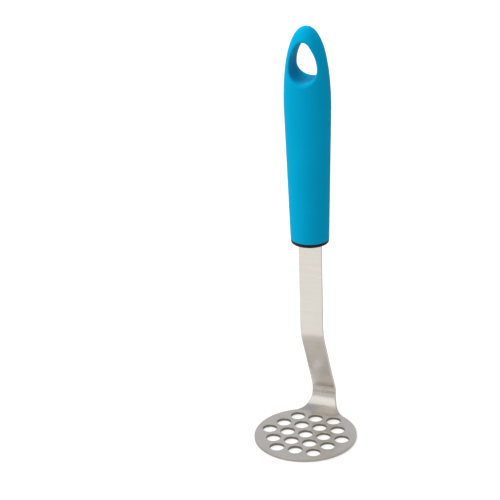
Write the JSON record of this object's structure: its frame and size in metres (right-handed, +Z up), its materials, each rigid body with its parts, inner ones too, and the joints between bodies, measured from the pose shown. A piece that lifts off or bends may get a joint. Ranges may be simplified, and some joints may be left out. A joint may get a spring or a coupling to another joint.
{
  "type": "hand potato masher",
  "caption": "Hand masher with a perforated round steel disc on a bent flat shank and a soft blue grip that ends in a hanging eye.",
  "frame": {"origin": "centre of the disc's underside, the flat face that presses and that the tool stands on", "axes": "+Z up the handle, +Y from the disc's centre towards the heel where the shank leaves it, +X across the flat shank"},
  "size_m": [0.065, 0.0729, 0.265],
  "materials": {
    "stainless_steel": "satin",
    "blue_silicone": "matte",
    "black_nylon": "matte",
    "black_plastic": "satin",
    "pin_steel": "satin"
  },
  "bodies": {
    "root": {"masher_blade": "stainless_steel", "grip_sleeve": "blue_silicone", "handle_core": "black_nylon", "end_plug": "black_plastic", "tang_pin_lower": "pin_steel", "tang_pin_upper": "pin_steel"}
  },
  "joints": []
}
